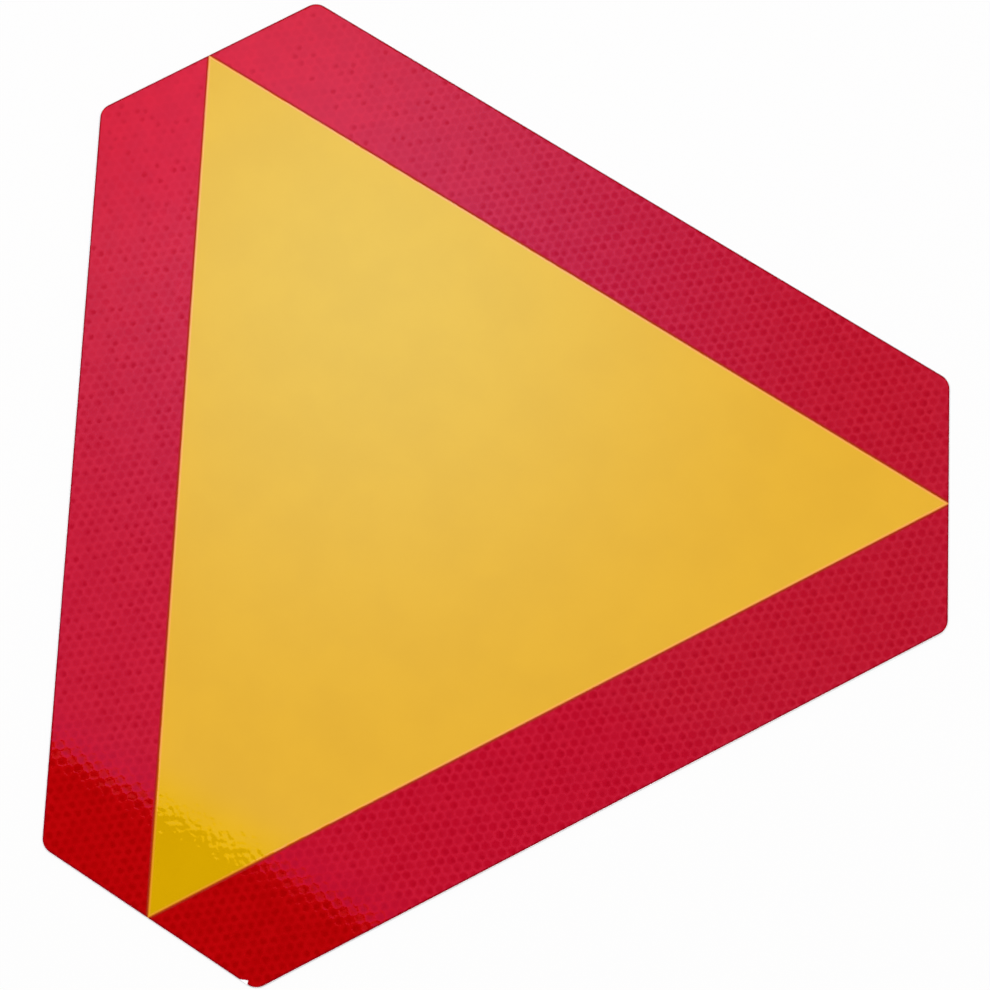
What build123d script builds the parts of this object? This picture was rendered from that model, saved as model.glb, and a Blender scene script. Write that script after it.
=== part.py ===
from build123d import *
from math import radians, tan
import os

# Triangular rear marking board for slow vehicles and trailers.
# A flat metal plate, an equilateral triangle with its corners cut off, carries four pieces of reflective
# film: a plain yellow triangle in the middle and a red honeycomb strip along each of its three sides.
# The board lies on its back. Z = 0 is the back face, +Z is the way the films face, +Y points to the
# corner that stands uppermost on a vehicle, and the origin is below the middle of the triangle.

# Driving dimensions, in millimetres

triangle_side = 365.0  # side of the yellow triangle, from corner to corner
border_width = 45.0  # width of the red border, square to the triangle's side
corner_radius = 7.0  # rounding of the plate's six corners

plate_thickness = 1.5
front_edge_roll = 0.3  # rounding that blanking leaves on the front edge
back_edge_break = 0.15  # chamfer that takes the burr off the back edge

rim_land = 0.1  # flat rim left bare between the plate's rolled edge and the films
red_film_thickness = 0.45
yellow_film_thickness = 0.3

# A chip knocked out of the right-hand red strip, on the edge of the lower right cut corner

chip_length = 3.8  # along the edge
chip_depth = 1.5  # into the film
chip_lean = 0.7  # along the edge, from the deepest point to the end beside the rounded corner
chip_corner_angle = -30  # from +X to the cut corner that the chip is on, in degrees

# Worked out from the driving dimensions

slope = tan(radians(30))  # half of a triangle's corner
side_reach = triangle_side / 2 * slope  # from the middle to each side of the yellow triangle
point_reach = 2 * side_reach  # from the middle to its points, where the plate's corners are cut
plate_reach = side_reach + border_width  # from the middle to the plate's long edges
film_inset = front_edge_roll + rim_land
plate_front = Plane.XY.offset(plate_thickness)

# From the middle of a cut corner's edge to where its rounded ends begin
cut_edge_half = (2 * plate_reach - point_reach - corner_radius) * slope


# Outline of the plate: one triangle, trimmed by another that points the opposite way

with BuildSketch() as plate_outline:
    RegularPolygon(plate_reach, 3, major_radius=False, rotation=90)
    RegularPolygon(point_reach, 3, major_radius=False, rotation=-90, mode=Mode.INTERSECT)
    fillet(plate_outline.vertices(), corner_radius)

# Outline that the four films share, inside the plate's rolled edge

with BuildSketch() as film_outline:
    add(plate_outline.sketch)
    offset(amount=-film_inset)


# Backing plate, blanked from sheet

with BuildPart() as backing_plate:
    add(plate_outline.sketch)
    extrude(amount=plate_thickness)
    fillet(backing_plate.faces().sort_by(Axis.Z)[-1].edges(), front_edge_roll)
    chamfer(backing_plate.faces().sort_by(Axis.Z)[0].edges(), back_edge_break)

# Yellow film, whose three points run out to the cut corners

with BuildPart() as yellow_film:
    with BuildSketch(plate_front):
        add(film_outline.sketch)
        RegularPolygon(side_reach, 3, major_radius=False, rotation=90, mode=Mode.INTERSECT)
    extrude(amount=yellow_film_thickness)

backing_plate.part.label = "backing_plate"
yellow_film.part.label = "yellow_film"

os.makedirs("parts", exist_ok=True)
export_step(backing_plate.part, "parts/backing_plate.step")
export_step(yellow_film.part, "parts/yellow_film.step")


# Red films: the strip below the triangle, turned about the middle to each of the three sides

for side, side_angle in (("bottom", 0), ("right", 120), ("left", 240)):
    with BuildPart() as red_film:
        with BuildSketch(plate_front.rotated((0, 0, side_angle))):
            add(film_outline.sketch)
            with Locations((0, -plate_reach)):
                Rectangle(4 * plate_reach, 2 * border_width, mode=Mode.INTERSECT)
        extrude(amount=red_film_thickness)

        if side == "right":
            with BuildSketch(plate_front.rotated((0, 0, chip_corner_angle))):
                with BuildLine():
                    Polyline(
                        (point_reach, cut_edge_half - chip_length),
                        (point_reach - film_inset - chip_depth, cut_edge_half - chip_lean),
                        (point_reach, cut_edge_half),
                        close=True,
                    )
                make_face()
            extrude(amount=red_film_thickness, mode=Mode.SUBTRACT)

    red_film.part.label = f"red_film_{side}"
    export_step(red_film.part, f"parts/red_film_{side}.step")
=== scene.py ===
from math import ceil, cos, pi, radians, sin, sqrt, tan

import bmesh
import bpy
import numpy as np
from mathutils import Matrix, Vector, noise
from mathutils.geometry import delaunay_2d_cdt


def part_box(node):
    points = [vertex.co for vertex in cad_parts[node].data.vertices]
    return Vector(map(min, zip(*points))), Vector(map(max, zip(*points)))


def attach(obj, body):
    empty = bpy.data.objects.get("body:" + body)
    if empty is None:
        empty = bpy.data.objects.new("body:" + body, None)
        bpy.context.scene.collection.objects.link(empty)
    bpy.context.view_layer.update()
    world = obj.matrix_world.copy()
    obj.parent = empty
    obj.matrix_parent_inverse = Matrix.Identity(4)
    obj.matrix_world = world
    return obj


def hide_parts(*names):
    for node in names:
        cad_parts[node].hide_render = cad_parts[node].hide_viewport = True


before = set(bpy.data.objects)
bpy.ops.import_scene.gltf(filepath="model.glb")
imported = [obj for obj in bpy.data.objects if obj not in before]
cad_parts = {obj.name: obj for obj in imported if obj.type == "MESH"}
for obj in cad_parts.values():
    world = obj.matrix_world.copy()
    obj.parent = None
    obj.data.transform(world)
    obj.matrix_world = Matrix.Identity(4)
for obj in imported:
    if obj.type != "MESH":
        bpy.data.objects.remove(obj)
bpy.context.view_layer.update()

# Sizes, in metres, worked out from the frame where it has them

MM = 0.001
plate_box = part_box("backing_plate")
yellow_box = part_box("yellow_film")
red_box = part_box("red_film_bottom")

plate_front = plate_box[1][2]
yellow_front = yellow_box[1][2]
red_front = red_box[1][2]

slope = tan(radians(30))  # half of a triangle's corner
point_reach = plate_box[1][1]  # from the middle to the yellow triangle's points and the plate's cut corners
side_reach = point_reach / 2  # from the middle to the yellow triangle's sides
plate_reach = -plate_box[0][1]  # from the middle to the plate's long edges
film_inset = point_reach - yellow_box[1][1]  # bare rim round the films
corner_radius = 7.0 * MM

yellow_edge_round = 0.08 * MM
red_edge_round = 0.5 * MM
edge_slope = radians(35)  # how steeply a rounded edge ends at its cut wall
edge_steps = 3

# The chip in the right-hand red strip, on the edge of the lower right cut corner

chip_length = 3.8 * MM
chip_depth = 1.5 * MM
chip_lean = 0.7 * MM  # along the edge, from the deepest point to the end beside the rounded corner
chip_corner_angle = radians(-30)  # from +X to that cut corner

# How the films' outlines and faces are meshed

least_mitre = 0.3  # stops a sharp corner's mitre from running too far in
grid_margin = 0.45  # of a mesh step, left free between the rim and the grid inside it
crease_angle = radians(45)
keep_inside = 1  # makes delaunay_2d_cdt keep only the triangles inside the rim
merge_distance = 1e-9

# The honeycomb under the red films

cell_pitch = 4.12 * MM
cell_row_angle = radians(40.8)
cell_steps = 8  # mesh steps along a cell's pitch
cell_relief = 0.0007 * MM
cell_waves = (0.6, 0.8, 1.3)  # how strong the relief's waves are along the lattice's three directions
wave_overtone = 0.25  # makes each wave's crest narrower than its trough
red_ripple_size = 6.0 * MM
red_ripple = 0.003 * MM
red_grain_size = 2.0 * MM
red_grain = 0.0026 * MM
wall_ridge = 0.0017 * MM  # height of the walls' relief in the material

# The ripple that the yellow film keeps from its backing

yellow_step = 1.05 * MM
yellow_ripple_size = 4.4 * MM
yellow_ripple = 0.007 * MM
fine_ripple_size = 2.3 * MM
fine_ripple = 0.019 * MM
fine_ripple_detail = 0.5
face_drop = 0.015 * MM  # lowers both films' faces, so that their relief stays under the CAD's

# Headings from the middle, in degrees

side_headings = (-90, 30, 150)  # to the yellow triangle's sides
cut_headings = (90, 210, 330)  # to the plate's cut corners
cell_headings = range(0, 360, 60)  # to a cell's walls, from its row's direction

# Places about which the films are painted lighter or darker, as painted light and painted shade

painted_light_corner = (-0.19, -0.11, red_front)  # painted light: beside it the film is painted palest, its pattern weakest
red_shine_spot = (-0.15, -0.128, red_front)  # painted reflection: the low strip's shine is painted redder here
dark_way = (0.902, -0.432, 0)  # the way from the middle to the dark corner, whose shade is also painted into the films
dark_span = (0.148, 0.172)  # how far along it the painted shade starts and is full

# The parts of a cell, each eased between two distances from the cell's middle, in pitches

floor_span = (0.49, 0.2)
hollow_span = (0.5, 0.06)  # the darker middle of the floor, painted only in the dark corner, as painted shade
core_span = (0.36, 0.06)  # the dark core, painted only outside the dark corner's painted shade
core_scatter = (0.3, 0.3, 0)  # how far off the cell's middle it lies, from side to side
ridge_span = (0.42, 0.5)  # the paler ridge along the walls
relief_span = (0.34, 0.5)  # the walls' relief
ridge_share = 0.52
dark_ridge_share = 0.7  # what is left of the ridge in the dark corner's painted shade
cell_strengths = (0.62, 1.25)  # the pattern's strength differs from cell to cell
fullest_core = 1.2  # the random number that would give a cell a full core, while theirs end at 1

wobble_size = 1.5 * MM  # unevenness of the parts' outlines
wall_wobble = 0.28
hollow_wobble = 0.6
core_wobble = 0.4

# How the red film changes over the board, partly as painted light and shade: two distances in metres, and
# the values that it is eased between

strip_contrast = (-0.16, -0.05, 0.62, 1.0)  # by height up the board, the whole pattern's strength
net_fade = (0.04, 0.22, 0.35, 1.0)  # by distance from the pale corner, its strength in the film's colour, weakened there by painted light
low_shine_fade = (0.0, 0.11, 0.3, 0.78)  # the same in the shine of the strip below the triangle
high_shine_fade = (0.05, 0.25, 0.27, 0.95)  # and in the shine of the other strips
core_rarity = (0.05, 0.2, 0.6, 0.0)  # by distance from the pale corner, the share of cells without a core, raised by the painted light there
seam_fade = (0.03, 0.22, 0.6, 1.0)  # and the strength of the line at the seam, weaker under the painted light
corner_shade = (0.17, 0, 1.0, 1.21)  # and how much painted light lightens the film's colour
height_shade = (-0.14, 0.2, 0.955, 0.862)  # painted shade: the same by height up the board, darker higher up

high_span = (-0.1, -0.06)  # heights between which the low strip's pattern gives way to the others'
low_span = (-0.06, -0.12)  # heights between which the right-hand strip's shine gives way to the low strip's
painted_light_span = (0.24, 0.06)  # distances from the pale corner between which the shine is painted pale, as painted light
redder_span = (0.03, 0.06)  # distances towards the dark corner: the right-hand strip's shine is painted redder, a painted reflection
bluer_span = (0.08, 0.13)  # and the low strip's painted bluer
red_shine_span = (0.06, 0.02)  # distances from the red shine spot

# Lines along the films' edges, each eased between two distances from the edge

seam_span = (1.1 * MM, 0.5 * MM)  # the dark line along the red film's seam
seam_brown_span = (0.5 * MM, 0)  # it turns browner right at the seam
edge_span = (0.9 * MM, 0.4 * MM)  # the fainter one along its outer edges
edge_share = 0.8
rim_span = (1.3 * MM, 0.7 * MM)  # the pale line round the yellow film
rim_brown_span = (0.65 * MM, 0)  # and the brownish one outside it

# Colours of the red film and of its shine. A pair of shines is for most of the board and for the painted
# light of the pale corner

wall_reds = ((0.49, 0.0009, 0.0020), (0.535, 0.0016, 0.0030))  # they drift from one to the other
ridge_red = (0.555, 0.0022, 0.0045)
floor_red = (0.455, 0.0004, 0.0012)
# painted shade: shown only in the dark corner
hollow_red = (0.42, 0.0004, 0.0010)
core_red = (0.395, 0.0003, 0.0008)
edge_red = (0.24, 0.0003, 0.0006)
seam_red = (0.335, 0.011, 0.0006)
seam_brown = (0.43, 0.055, 0.0012)

wall_shines = ((0.67, 0.086, 0.25), (0.67, 0.100, 0.275))  # they drift as the walls' reds do
# painted light: the paler shine beside the pale corner
painted_light_shine = (0.67, 0.126, 0.255)
ridge_shines = ((0.67, 0.112, 0.29), (0.67, 0.150, 0.29))
floor_shines = ((0.65, 0.043, 0.175), (0.65, 0.062, 0.170))
core_shines = ((0.63, 0.026, 0.13), (0.63, 0.038, 0.112))
# painted shade: the shine in the dark corner
painted_shade_shine = (0.67, 0.055, 0.235)
seam_shine = (0.6, 0.05, 0.09)
unchanged = (1.0, 1.0, 1.0)  # factors on the shine
# painted reflection: factors on the shine towards the dark corner and about the red shine spot
redder = (1.0, 0.62, 0.88)
bluer = (1.0, 1.06, 1.2)
red_shine_factor = (1.0, 0.76, 0.88)

# Colours of the yellow film and of its shine

yellows = ((0.676, 0.383, 0.0006), (0.702, 0.401, 0.0008))
rim_orange = (0.835, 0.36, 0.020)
rim_brown = (0.53, 0.095, 0.0015)
yellow_shine = (1.0, 0.61, 0.29)
# painted shade: the yellow film's warmer shine in the dark corner
yellow_painted_shade_shine = (1.0, 0.70, 0.07)
rim_shine = (1.0, 0.63, 0.5)

# Gloss and clouds

film_ior = 1.5
red_roughness = (0.015, 0.025)
seam_roughness = 0.13  # added at the seam
yellow_roughness = (0.012, 0.022)
red_cloud_size = 9 * MM
yellow_cloud_size = 30 * MM
cloud_span = (0.3, 0.7)  # the part of the noise's range that a colour drifts over
gloss_span = (0.2, 0.8)  # the same for the films' gloss and the floor's speckle
cloud_detail = 3.0
fine_grain_size = 0.5 * MM
fine_grain = 0.002 * MM
fine_grain_strength = 0.05

# The plate's metal

plate_greys = ((0.70, 0.71, 0.72), (0.78, 0.79, 0.80))
sheared_greys = ((0.40, 0.40, 0.41), (0.60, 0.60, 0.61))
plate_cloud_size = 40 * MM
roll_line_size = 0.4 * MM
roll_stretch = (0.02, 1, 1)  # the rolled lines run along X
roll_relief = 0.01 * MM
roll_strength = 0.3
roll_detail = 4.0
drag_size = 0.3 * MM
drag_stretch = (1, 1, 0.1)  # shearing draws lines through the sheet's thickness
sheared_span = (0.9, 0.3)  # the upright part of a face's direction, from rolled to sheared
plate_roughness = (0.36, 0.5)
sheared_roughness = 0.1  # added on the sheared edge

# The camera, from the photograph's perspective

camera_lens = 87.48
camera_sensor = 36.0
camera_shift = (0.0879, -0.0121)  # the photograph is a crop
camera_azimuth = radians(104.03)
camera_elevation = radians(78.359)
camera_roll = radians(-11.335)
camera_aim = Vector((0.00094, -0.01038, yellow_front))
camera_distance = 0.9907

# The light card above the board: its straight edge is what the board's lower corner reflects

card_height = 1.6
card_edge_middle = (0.0822, -0.2665)
card_edge_angle = radians(64.4)
card_length = 1.35
card_width = 0.93
card_middle = Vector((*card_edge_middle, card_height))
card_along = Vector((cos(card_edge_angle), sin(card_edge_angle), 0))
card_across = Vector((-card_along.y, card_along.x, 0))
card_light = (3.4, 3.15, 3.2)
border_light = (3.6, 2.9, 0.6)  # the card's warm border, along its edge
border_start = 0.002
border_end = 0.014
glow_light = (3.9, 7.4, 8.9)  # where the lamp behind the card shines through most
glow_middle = (-0.585, -0.148, card_height)
glow_reach = 0.61

flag_length = 0.7
flag_width = 0.3  # to the other side of the card's edge

sky_light = 0.715

floor_reach = 4.0
floor_level = -0.1 * MM  # just below the plate's back
floor_greys = ((0.86, 0.86, 0.86), (0.88, 0.88, 0.88))
speckle_size = 0.2
floor_glow = 0.9  # how much of the floor's look is plain white where it is seen directly
white = (1.0, 1.0, 1.0)
flag_black = (0.01, 0.01, 0.01)


# Outlines


def rounded_outline(corners, arc_steps=10):
    """A closed loop of 2-D points, counter-clockwise, from (x, y, radius) corners."""
    loop = []
    for i, (x, y, radius) in enumerate(corners):
        corner = Vector((x, y))
        if not radius:
            loop.append(corner)
            continue
        before = (Vector(corners[i - 1][:2]) - corner).normalized()
        after = (Vector(corners[(i + 1) % len(corners)][:2]) - corner).normalized()
        half = before.angle(after) / 2
        middle = corner + (before + after).normalized() * radius / sin(half)
        start = corner + before * radius / tan(half) - middle
        for k in range(arc_steps + 1):
            spoke = start.copy()
            spoke.rotate(Matrix.Rotation((pi - 2 * half) * k / arc_steps, 2))
            loop.append(middle + spoke)
    return loop


def turned(loop, angle):
    """The loop turned about the middle."""
    return [Matrix.Rotation(angle, 2) @ point for point in loop]


def divided(loop, step):
    """The loop with each of its sides cut into equal lengths of at most step."""
    points = []
    for start, end in zip(loop, loop[1:] + loop[:1]):
        count = max(1, ceil((end - start).length / step))
        points += [start.lerp(end, k / count) for k in range(count)]
    return points


def inset(loop, distance):
    """The loop moved inwards, each point along the mitre of its corner."""
    points = []
    for before, point, after in zip(loop[-1:] + loop[:-1], loop, loop[1:] + loop[:1]):
        into = (point - before).normalized()
        out = (after - point).normalized()
        mitre = Vector((-into.y - out.y, into.x + out.x)).normalized()
        lean = mitre.dot(Vector((-into.y, into.x)))
        points.append(point + mitre * distance / max(least_mitre, lean))
    return points


def strip_outline():
    """A red strip's outline where it lies below the triangle."""
    cut_reach = point_reach - film_inset
    outer = plate_reach - film_inset
    inner_half = (cut_reach - side_reach / 2) / cos(radians(30))
    outer_half = (cut_reach - outer / 2) / cos(radians(30))
    radius = corner_radius - film_inset
    return rounded_outline(
        [
            (-inner_half, -side_reach, 0),
            (-outer_half, -outer, radius),
            (outer_half, -outer, radius),
            (inner_half, -side_reach, 0),
        ]
    )


def chipped(loop):
    """The right-hand strip's outline with the chip beside its lower rounded corner."""
    away = Vector((cos(chip_corner_angle), sin(chip_corner_angle)))
    along = Vector((-away.y, away.x))
    cut_edge_half = (2 * plate_reach - point_reach - corner_radius) * slope
    reach = point_reach - film_inset
    start = away * reach + along * (cut_edge_half - chip_length)
    deepest = away * (reach - chip_depth) + along * (cut_edge_half - chip_lean)
    end = away * reach + along * cut_edge_half
    nearest = min(range(len(loop)), key=lambda k: (loop[k] - end).length)
    return loop[:nearest] + [start, deepest] + loop[nearest:]


def yellow_outline():
    """The yellow triangle's outline, with its three points clipped inside the plate's cut corners."""
    cut_reach = point_reach - film_inset
    tip_half = film_inset * slope
    tip = [Vector((tip_half, cut_reach)), Vector((-tip_half, cut_reach))]
    return [p for turn in (0, 120, 240) for p in turned(tip, radians(turn))]


# Meshes


def depth_inside(points, corners):
    """How far each point lies inside a closed loop, or 0 where it lies outside."""
    inside = np.zeros(len(points), bool)
    nearest = np.full(len(points), np.inf)
    for start, end in zip(corners, np.roll(corners, -1, axis=0)):
        side = end - start
        share = np.clip((points - start) @ side / (side @ side), 0, 1)
        nearest = np.minimum(nearest, np.linalg.norm(points - start - share[:, None] * side, axis=1))
        spans = (start[1] > points[:, 1]) != (end[1] > points[:, 1])
        rise = side[1] or 1e-12  # a level side is never crossed, so what it is divided by doesn't matter
        crossing = start[0] + (points[:, 1] - start[1]) * side[0] / rise
        inside ^= spans & (points[:, 0] < crossing)
    return np.where(inside, nearest, 0)


def grid_points(loop, step, angle, margin):
    """Points of a triangular grid that lie inside the loop, at least margin from its edge."""
    corners = np.array(loop)
    reach = np.abs(corners).max() * 1.5  # past the loop at any angle
    rows = int(reach / (step * sqrt(3) / 2))
    columns = int(reach / step)
    i, j = np.meshgrid(np.arange(-columns, columns + 1), np.arange(-rows, rows + 1))
    u = (i + (j % 2) / 2) * step
    v = j * step * sqrt(3) / 2
    x = (u * cos(angle) - v * sin(angle)).ravel()
    y = (u * sin(angle) + v * cos(angle)).ravel()
    low, high = corners.min(0), corners.max(0)
    near = (x > low[0]) & (x < high[0]) & (y > low[1]) & (y < high[1])
    points = np.stack([x[near], y[near]], axis=1)
    return [Vector(p) for p in points[depth_inside(points, corners) > margin]]


def filled(rim, points, loop):
    """Triangles between the rim's points and the others, none of them outside the loop."""
    border = list(range(len(rim)))
    result = delaunay_2d_cdt(rim + points, [], [border], keep_inside, merge_distance, True)
    verts, _, faces, origins = result[:4]
    middles = np.array(verts)[np.array(faces)].mean(axis=1)
    kept = depth_inside(middles, np.array(loop)) > 0
    return verts, [face for face, keep in zip(faces, kept) if keep], origins


def film_mesh(name, loop, front, edge_round, step, angle, relief):
    """A closed sheet on the plate's front: a finely meshed face, a rounded edge, walls and a flat back."""
    rim = divided(loop, step)
    count = len(rim)
    face_loop = inset(loop, edge_round)
    inner = grid_points(face_loop, step, angle, step * grid_margin)
    verts, faces, origins = filled(inset(rim, edge_round), inner, face_loop)

    build = bmesh.new()
    level = front - face_drop
    face_verts = [build.verts.new((p.x, p.y, level + relief(p.x, p.y))) for p in verts]
    for face in faces:
        build.faces.new([face_verts[k] for k in face])

    ring = [None] * count
    for vert, sources in zip(face_verts, origins):
        for source in sources:
            if source < count:
                ring[source] = vert
    radius = edge_round / sin(edge_slope)
    levels = []
    for k in range(1, edge_steps + 1):
        turn = edge_slope * k / edge_steps
        levels.append((edge_round - radius * sin(turn), level - radius * (1 - cos(turn))))
    levels.append((0, plate_front))
    for depth, z in levels:
        lower = [build.verts.new((p.x, p.y, z)) for p in inset(rim, depth)]
        for k in range(count):
            after = (k + 1) % count
            build.faces.new([ring[k], lower[k], lower[after], ring[after]])
        ring = lower
    for face in filled([v.co.xy for v in ring], [], loop)[1]:
        build.faces.new([ring[k] for k in reversed(face)])

    mesh = bpy.data.meshes.new(name)
    build.to_mesh(mesh)
    build.free()
    mesh.polygons.foreach_set("use_smooth", [True] * len(mesh.polygons))
    mesh.set_sharp_from_angle(angle=crease_angle)
    piece = bpy.data.objects.new(name, mesh)
    bpy.context.scene.collection.objects.link(piece)
    return piece


def cell_height(x, y):
    """The red film's face sags a little over each honeycomb cell."""
    height = 0
    for k, strength in enumerate(cell_waves):
        angle = cell_row_angle + radians(30 + 60 * k)
        phase = 4 * pi / sqrt(3) / cell_pitch * (x * cos(angle) + y * sin(angle))
        height -= strength * (cos(phase) - wave_overtone * cos(2 * phase))
    ripple = noise.noise(Vector((x, y, 0)) / red_ripple_size)
    grain = noise.noise(Vector((x, y, 0)) / red_grain_size)
    return cell_relief * height + red_ripple * ripple + red_grain * grain


def ripple_height(x, y):
    """The yellow film's face ripples a little."""
    place = Vector((x, y, 0)) / yellow_ripple_size
    return yellow_ripple * noise.noise(place)


# Materials


class Nodes:
    """Short calls that add nodes to a material or world."""

    def __init__(self, owner):
        owner.use_nodes = True
        self.tree = owner.node_tree
        self.tree.nodes.clear()

    def feed(self, socket, value):
        """Links value to the socket, or sets it there. A colour is written as three numbers."""
        if isinstance(value, bpy.types.NodeSocket):
            self.tree.links.new(value, socket)
        elif socket.type == "RGBA":
            socket.default_value = (*value, 1.0)
        else:
            socket.default_value = value

    def add(self, kind, inputs=None, **settings):
        node = self.tree.nodes.new(kind)
        for key, value in settings.items():
            setattr(node, key, value)
        for key, value in (inputs or {}).items():
            self.feed(node.inputs[key], value)
        return node

    def coordinates(self, kind="Object"):
        return self.add("ShaderNodeTexCoord").outputs[kind]

    def math(self, operation, *values):
        node = self.add("ShaderNodeMath", dict(enumerate(values)), operation=operation)
        return node.outputs[0]

    def vector(self, operation, *values):
        node = self.add("ShaderNodeVectorMath", dict(enumerate(values)), operation=operation)
        return node.outputs["Value" if operation in ("LENGTH", "DOT_PRODUCT") else "Vector"]

    def product(self, first, *others):
        for other in others:
            first = self.math("MULTIPLY", first, other)
        return first

    def distance(self, place, spot):
        return self.vector("LENGTH", self.vector("SUBTRACT", place, spot))

    def farthest(self, place, headings):
        """How far place lies from the middle, along whichever heading it lies farthest."""
        ways = [(cos(radians(heading)), sin(radians(heading)), 0) for heading in headings]
        reaches = [self.vector("DOT_PRODUCT", place, way) for way in ways]
        farthest = reaches[0]
        for reach in reaches[1:]:
            farthest = self.math("MAXIMUM", farthest, reach)
        return farthest

    def between(self, value, low, high, to_low=0.0, to_high=1.0):
        """value eased from low to high, as to_low to to_high."""
        keys = {"Value": value, "From Min": low, "From Max": high, "To Min": to_low, "To Max": to_high}
        return self.add("ShaderNodeMapRange", keys, interpolation_type="SMOOTHSTEP").outputs[0]

    def mix(self, share, first, second):
        """first where share is 0 and second where it is 1. A Mix node has its colours at 6, 7 and 2."""
        return self.add("ShaderNodeMix", {0: share, 6: first, 7: second}, data_type="RGBA").outputs[2]

    def honeycomb(self, place, pitch, angle):
        """Where place lies from its cell's middle, in pitches, and a vector that names the cell."""
        keys = {"Vector": place, "Angle": -angle}
        turned_place = self.add("ShaderNodeVectorRotate", keys, rotation_type="Z_AXIS").outputs[0]
        row_gap = sqrt(3)
        lattice = self.vector("MULTIPLY", turned_place, (1 / pitch, 1 / pitch / row_gap, 0))
        offsets, names, lengths = [], [], []
        for shift in (0.5, 0.0):
            shifted = self.vector("ADD", lattice, (shift, shift, 0))
            part = self.vector("SUBTRACT", self.vector("FRACTION", shifted), (0.5, 0.5, 0))
            offsets.append(self.vector("MULTIPLY", part, (1, row_gap, 0)))
            names.append(self.vector("ADD", self.vector("FLOOR", shifted), (shift, 0, 0)))
            lengths.append(self.vector("LENGTH", offsets[-1]))
        first_nearer = self.math("LESS_THAN", lengths[0], lengths[1])
        return self.mix(first_nearer, offsets[1], offsets[0]), self.mix(first_nearer, names[1], names[0])

    def noise(self, place, size, detail=2.0, stretch=(1, 1, 1)):
        """Noise from 0 to 1 whose features are about size across."""
        scaled = self.vector("MULTIPLY", place, [s / size for s in stretch])
        keys = {"Vector": scaled, "Scale": 1.0, "Detail": detail}
        return self.add("ShaderNodeTexNoise", keys).outputs["Fac"]

    def bump(self, height, distance, strength=1.0, **under):
        """The surface's direction with a relief on it. Normal=... puts it on another relief."""
        keys = {"Strength": strength, "Distance": distance, "Height": height, **under}
        return self.add("ShaderNodeBump", keys).outputs[0]

    def finish(self, shader):
        self.add("ShaderNodeOutputMaterial", {"Surface": shader})


def towards_dark(n, place):
    """How far place lies towards the dark corner, and 1 where it is in the dark and the films are painted
    as in shade.
    """
    distance = n.vector("DOT_PRODUCT", place, dark_way)
    return distance, n.between(distance, *dark_span)


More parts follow.
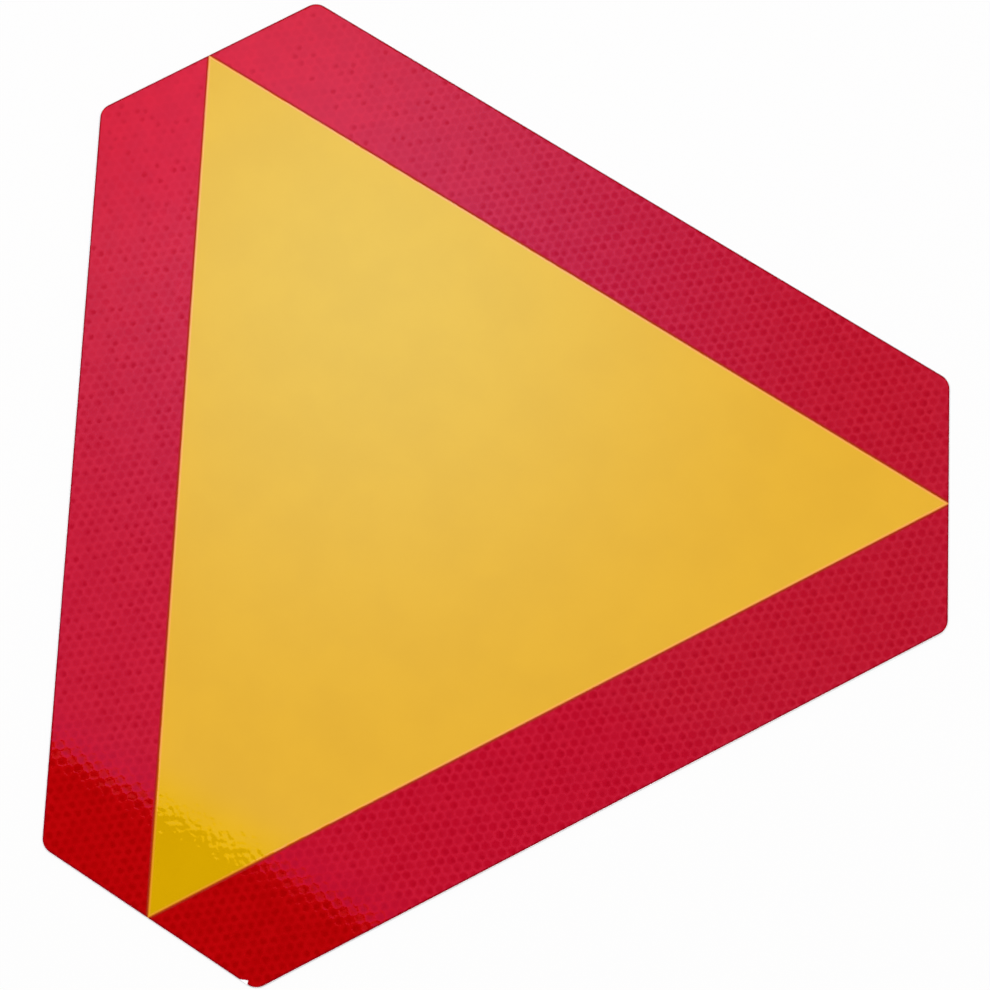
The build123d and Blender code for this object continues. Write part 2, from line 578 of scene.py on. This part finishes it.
def red_film_material():
    material = bpy.data.materials.new("red_reflective_film")
    n = Nodes(material)
    place = n.coordinates()
    height_up = n.add("ShaderNodeSeparateXYZ", {"Vector": place}).outputs["Y"]
    corner_gap = n.distance(place, painted_light_corner)
    to_dark, in_dark = towards_dark(n, place)
    in_light = n.math("SUBTRACT", 1.0, in_dark)

    # Outside the dark corner each cell's floor is a little darker than its walls and has a dark core
    # somewhat off its middle. In the dark corner it is painted as in shade, with a darker hollow instead
    offset, cell_name = n.honeycomb(place, cell_pitch, cell_row_angle)
    chance = n.add("ShaderNodeTexWhiteNoise", {"Vector": cell_name}, noise_dimensions="2D").outputs
    wobble = n.math("SUBTRACT", n.noise(place, wobble_size), 0.5)
    inside = n.math("ADD", n.farthest(offset, cell_headings), n.product(wobble, wall_wobble))
    spread = n.math("ADD", n.vector("LENGTH", offset), n.product(wobble, hollow_wobble))
    core_shift = n.vector("SUBTRACT", chance["Color"], (0.5, 0.5, 0.5))
    core_shift = n.vector("MULTIPLY", core_shift, core_scatter)
    core_spread = n.math("ADD", n.distance(offset, core_shift), n.product(wobble, core_wobble))

    # The pattern is weaker in the strip below the triangle. Towards the pale corner it fades under painted
    # light, and only the darkest cores are left
    strength = n.add("ShaderNodeSeparateColor", {"Color": chance["Color"]}).outputs["Green"]
    strength = n.between(strength, 0, 1, *cell_strengths)
    contrast = n.between(height_up, *strip_contrast)
    net = n.product(contrast, n.between(corner_gap, *net_fade))
    low_shine_net = n.product(contrast, n.between(corner_gap, *low_shine_fade))
    high_shine_net = n.between(corner_gap, *high_shine_fade)
    shine_net = n.mix(n.between(height_up, *high_span), low_shine_net, high_shine_net)

    floor = n.product(n.between(inside, *floor_span), in_light, strength)
    ridge_strength = n.between(in_dark, 0, 1, ridge_share, ridge_share * dark_ridge_share)
    ridge = n.product(n.between(inside, *ridge_span), ridge_strength)
    hollow = n.product(n.between(spread, *hollow_span), in_dark, strength)
    rarest = n.between(corner_gap, *core_rarity)
    core_strength = n.between(chance["Value"], rarest, fullest_core)
    core = n.product(n.between(core_spread, *core_span), core_strength, in_light)

    cloud = n.noise(place, red_cloud_size, cloud_detail)
    patch = n.between(cloud, *cloud_span)
    colour = n.mix(patch, *wall_reds)
    colour = n.mix(n.product(ridge, net), colour, ridge_red)
    colour = n.mix(n.product(floor, net), colour, floor_red)
    colour = n.mix(hollow, colour, hollow_red)
    colour = n.mix(core, colour, core_red)
    # Painted light and shade: the colour is darkened higher up the board and lightened beside the pale
    # corner
    shade = n.product(n.between(height_up, *height_shade), n.between(corner_gap, *corner_shade))
    colour = n.vector("MULTIPLY", colour, shade)

    # The walls shine a little more than the cells do. Beside the pale corner the shine is painted paler, as
    # painted light
    painted_light = n.between(corner_gap, *painted_light_span)
    shine = n.mix(painted_light, n.mix(patch, *wall_shines), painted_light_shine)
    shine = n.mix(n.product(ridge, shine_net), shine, n.mix(painted_light, *ridge_shines))
    shine = n.mix(n.product(floor, shine_net), shine, n.mix(painted_light, *floor_shines))
    shine = n.mix(core, shine, n.mix(painted_light, *core_shines))
    # Painted shade: the dark corner's shine is painted with its own tint
    shine = n.mix(in_dark, shine, painted_shade_shine)

    # Painted reflection: towards the dark corner the right-hand strip shines redder and the one below the
    # triangle bluer
    right_factor = n.mix(n.between(to_dark, *redder_span), unchanged, redder)
    low_factor = n.mix(n.between(to_dark, *bluer_span), unchanged, bluer)
    shine = n.vector("MULTIPLY", shine, n.mix(n.between(height_up, *low_span), right_factor, low_factor))
    in_spot = n.between(n.distance(place, red_shine_spot), *red_shine_span)
    shine = n.vector("MULTIPLY", shine, n.mix(in_spot, unchanged, red_shine_factor))

    # A duller dark line at the seam with the yellow film, and a fainter one along the outer edges
    sides = n.farthest(place, side_headings)
    from_seam = n.math("SUBTRACT", sides, side_reach)
    seam = n.product(n.between(from_seam, *seam_span), n.between(corner_gap, *seam_fade))
    colour = n.mix(seam, colour, n.mix(n.between(from_seam, *seam_brown_span), seam_red, seam_brown))
    shine = n.mix(seam, shine, seam_shine)
    to_side = n.math("SUBTRACT", plate_reach - film_inset, sides)
    to_cut = n.math("SUBTRACT", point_reach - film_inset, n.farthest(place, cut_headings))
    edge = n.between(n.math("MINIMUM", to_side, to_cut), *edge_span)
    colour = n.mix(n.product(edge, edge_share), colour, edge_red)

    smooth = n.between(cloud, *gloss_span, *red_roughness)
    relief = n.bump(n.noise(place, fine_grain_size), fine_grain, fine_grain_strength)
    relief = n.bump(n.between(inside, *relief_span), wall_ridge, Normal=relief)
    shader = n.add(
        "ShaderNodeBsdfPrincipled",
        {
            "Base Color": colour,
            "Roughness": n.math("ADD", smooth, n.product(seam, seam_roughness)),
            "IOR": film_ior,
            "Specular Tint": shine,
            "Normal": relief,
        },
    )
    n.finish(shader.outputs[0])
    return material


def yellow_film_material():
    material = bpy.data.materials.new("yellow_reflective_film")
    n = Nodes(material)
    place = n.coordinates()
    cloud = n.noise(place, yellow_cloud_size, cloud_detail)
    colour = n.mix(n.between(cloud, *cloud_span), *yellows)

    # Round the film runs a pale line, and outside it a thin brownish one
    from_edge = n.math("SUBTRACT", side_reach, n.farthest(place, side_headings))
    rim = n.between(from_edge, *rim_span)
    colour = n.mix(rim, colour, rim_orange)
    colour = n.mix(n.between(from_edge, *rim_brown_span), colour, rim_brown)

    # Its shine is painted warmer in the dark corner, as part of the painted shade there
    shine = n.mix(towards_dark(n, place)[1], yellow_shine, yellow_painted_shade_shine)
    shine = n.mix(rim, shine, rim_shine)

    fine = n.noise(place, fine_ripple_size, fine_ripple_detail)
    shader = n.add(
        "ShaderNodeBsdfPrincipled",
        {
            "Base Color": colour,
            "Roughness": n.between(cloud, *gloss_span, *yellow_roughness),
            "IOR": film_ior,
            "Specular Tint": shine,
            "Normal": n.bump(fine, fine_ripple),
        },
    )
    n.finish(shader.outputs[0])
    return material


def plate_material():
    material = bpy.data.materials.new("rolled_aluminium")
    n = Nodes(material)
    place = n.coordinates()
    lines = n.noise(place, roll_line_size, roll_detail, roll_stretch)
    cloud = n.noise(place, plate_cloud_size, cloud_detail)
    colour = n.mix(n.between(cloud, *cloud_span), *plate_greys)

    # The sheared edge is duller than the rolled faces
    level = n.add("ShaderNodeSeparateXYZ", {"Vector": n.coordinates("Normal")}).outputs["Z"]
    sheared = n.between(n.math("ABSOLUTE", level), *sheared_span)
    drag = n.noise(place, drag_size, cloud_detail, drag_stretch)
    colour = n.mix(sheared, colour, n.mix(drag, *sheared_greys))
    roughness = n.between(lines, *cloud_span, *plate_roughness)
    shader = n.add(
        "ShaderNodeBsdfPrincipled",
        {
            "Base Color": colour,
            "Metallic": 1.0,
            "Roughness": n.math("ADD", roughness, n.product(sheared, sheared_roughness)),
            "Normal": n.bump(lines, roll_relief, roll_strength),
        },
    )
    n.finish(shader.outputs[0])
    return material


# The board


def build_board():
    red = red_film_material()
    red_step = cell_pitch / cell_steps
    for side, turn in (("bottom", 0), ("right", 120), ("left", 240)):
        loop = turned(strip_outline(), radians(turn))
        if side == "right":
            loop = chipped(loop)
        name = f"red_film_{side}"
        piece = film_mesh(
            f"{name}_face", loop, red_front, red_edge_round, red_step, cell_row_angle, cell_height
        )
        piece.data.materials.append(red)
        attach(piece, "root")
        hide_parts(name)

    piece = film_mesh(
        "yellow_film_face", yellow_outline(), yellow_front, yellow_edge_round, yellow_step, 0, ripple_height
    )
    piece.data.materials.append(yellow_film_material())
    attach(piece, "root")
    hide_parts("yellow_film")

    plate = bpy.data.objects["backing_plate"]
    metal = plate_material()
    for slot in plate.material_slots:
        slot.material = metal


# The studio


def add_sheet(name, corners, material):
    """A flat staged face through its corners."""
    mesh = bpy.data.meshes.new(name)
    mesh.from_pydata([tuple(c) for c in corners], [], [list(range(len(corners)))])
    mesh.materials.append(material)
    stand = bpy.data.objects.new(name, mesh)
    bpy.context.scene.collection.objects.link(stand)


def seen_directly(n):
    """1 for rays that show a thing in view, in a reflection or through glass, and 0 for light on things."""
    path = n.add("ShaderNodeLightPath").outputs
    seen = n.math("MAXIMUM", path["Is Camera Ray"], path["Is Glossy Ray"])
    return n.math("MAXIMUM", seen, path["Is Transmission Ray"])


def floor_material():
    material = bpy.data.materials.new("floor_white")
    n = Nodes(material)
    speckle = n.between(n.noise(n.coordinates(), speckle_size), *gloss_span)
    matt = n.add("ShaderNodeBsdfDiffuse", {"Color": n.mix(speckle, *floor_greys)}).outputs[0]
    plain = n.add("ShaderNodeEmission", {"Color": white, "Strength": 1.0}).outputs[0]
    share = n.product(seen_directly(n), floor_glow)
    n.finish(n.add("ShaderNodeMixShader", {0: share, 1: matt, 2: plain}).outputs[0])
    return material


def card_material():
    material = bpy.data.materials.new("light_card")
    n = Nodes(material)
    place = n.coordinates()
    colour = n.mix(n.between(n.distance(place, glow_middle), glow_reach, 0), card_light, glow_light)
    from_edge = n.vector("DOT_PRODUCT", n.vector("SUBTRACT", place, card_middle), card_across)
    colour = n.mix(n.between(from_edge, border_start, border_end), border_light, colour)

    # The glow and the border show only where the card is seen directly, so it lights the board evenly
    colour = n.mix(seen_directly(n), card_light, colour)
    n.finish(n.add("ShaderNodeEmission", {"Color": colour, "Strength": 1.0}).outputs[0])
    return material


def flag_material():
    material = bpy.data.materials.new("dark_flag")
    n = Nodes(material)
    n.finish(n.add("ShaderNodeBsdfDiffuse", {"Color": flag_black}).outputs[0])
    return material


def build_studio():
    corners = [(-floor_reach, -floor_reach), (floor_reach, -floor_reach)]
    corners += [(floor_reach, floor_reach), (-floor_reach, floor_reach)]
    add_sheet("floor", [(x, y, floor_level) for x, y in corners], floor_material())

    for name, length, width, material in (
        ("light_card", card_length, card_width, card_material()),
        ("dark_flag", flag_length, -flag_width, flag_material()),
    ):
        start = card_middle - card_along * length / 2
        end = card_middle + card_along * length / 2
        across = card_across * width
        add_sheet(name, [start, end, end + across, start + across], material)

    world = bpy.data.worlds.new("studio")
    bpy.context.scene.world = world
    n = Nodes(world)
    strength = n.between(seen_directly(n), 0.0, 1.0, sky_light, 1.0)
    light = n.add("ShaderNodeBackground", {"Color": white, "Strength": strength}).outputs[0]
    n.add("ShaderNodeOutputWorld", {"Surface": light})


def add_camera():
    data = bpy.data.cameras.new("camera")
    data.lens = camera_lens
    data.sensor_width = camera_sensor
    data.shift_x, data.shift_y = camera_shift
    camera = bpy.data.objects.new("camera", data)
    bpy.context.scene.collection.objects.link(camera)
    level_right = Vector((cos(camera_azimuth), sin(camera_azimuth), 0))
    back = Vector(
        (
            sin(camera_azimuth) * cos(camera_elevation),
            -cos(camera_azimuth) * cos(camera_elevation),
            sin(camera_elevation),
        )
    )
    right = Matrix.Rotation(camera_roll, 3, back) @ level_right
    up = back.cross(right)
    place = Matrix((right, up, back)).transposed().to_4x4()
    place.translation = camera_aim + back * camera_distance
    camera.matrix_world = place
    bpy.context.scene.camera = camera


add_camera()
build_board()
build_studio()
bpy.context.scene.view_settings.view_transform = "Standard"
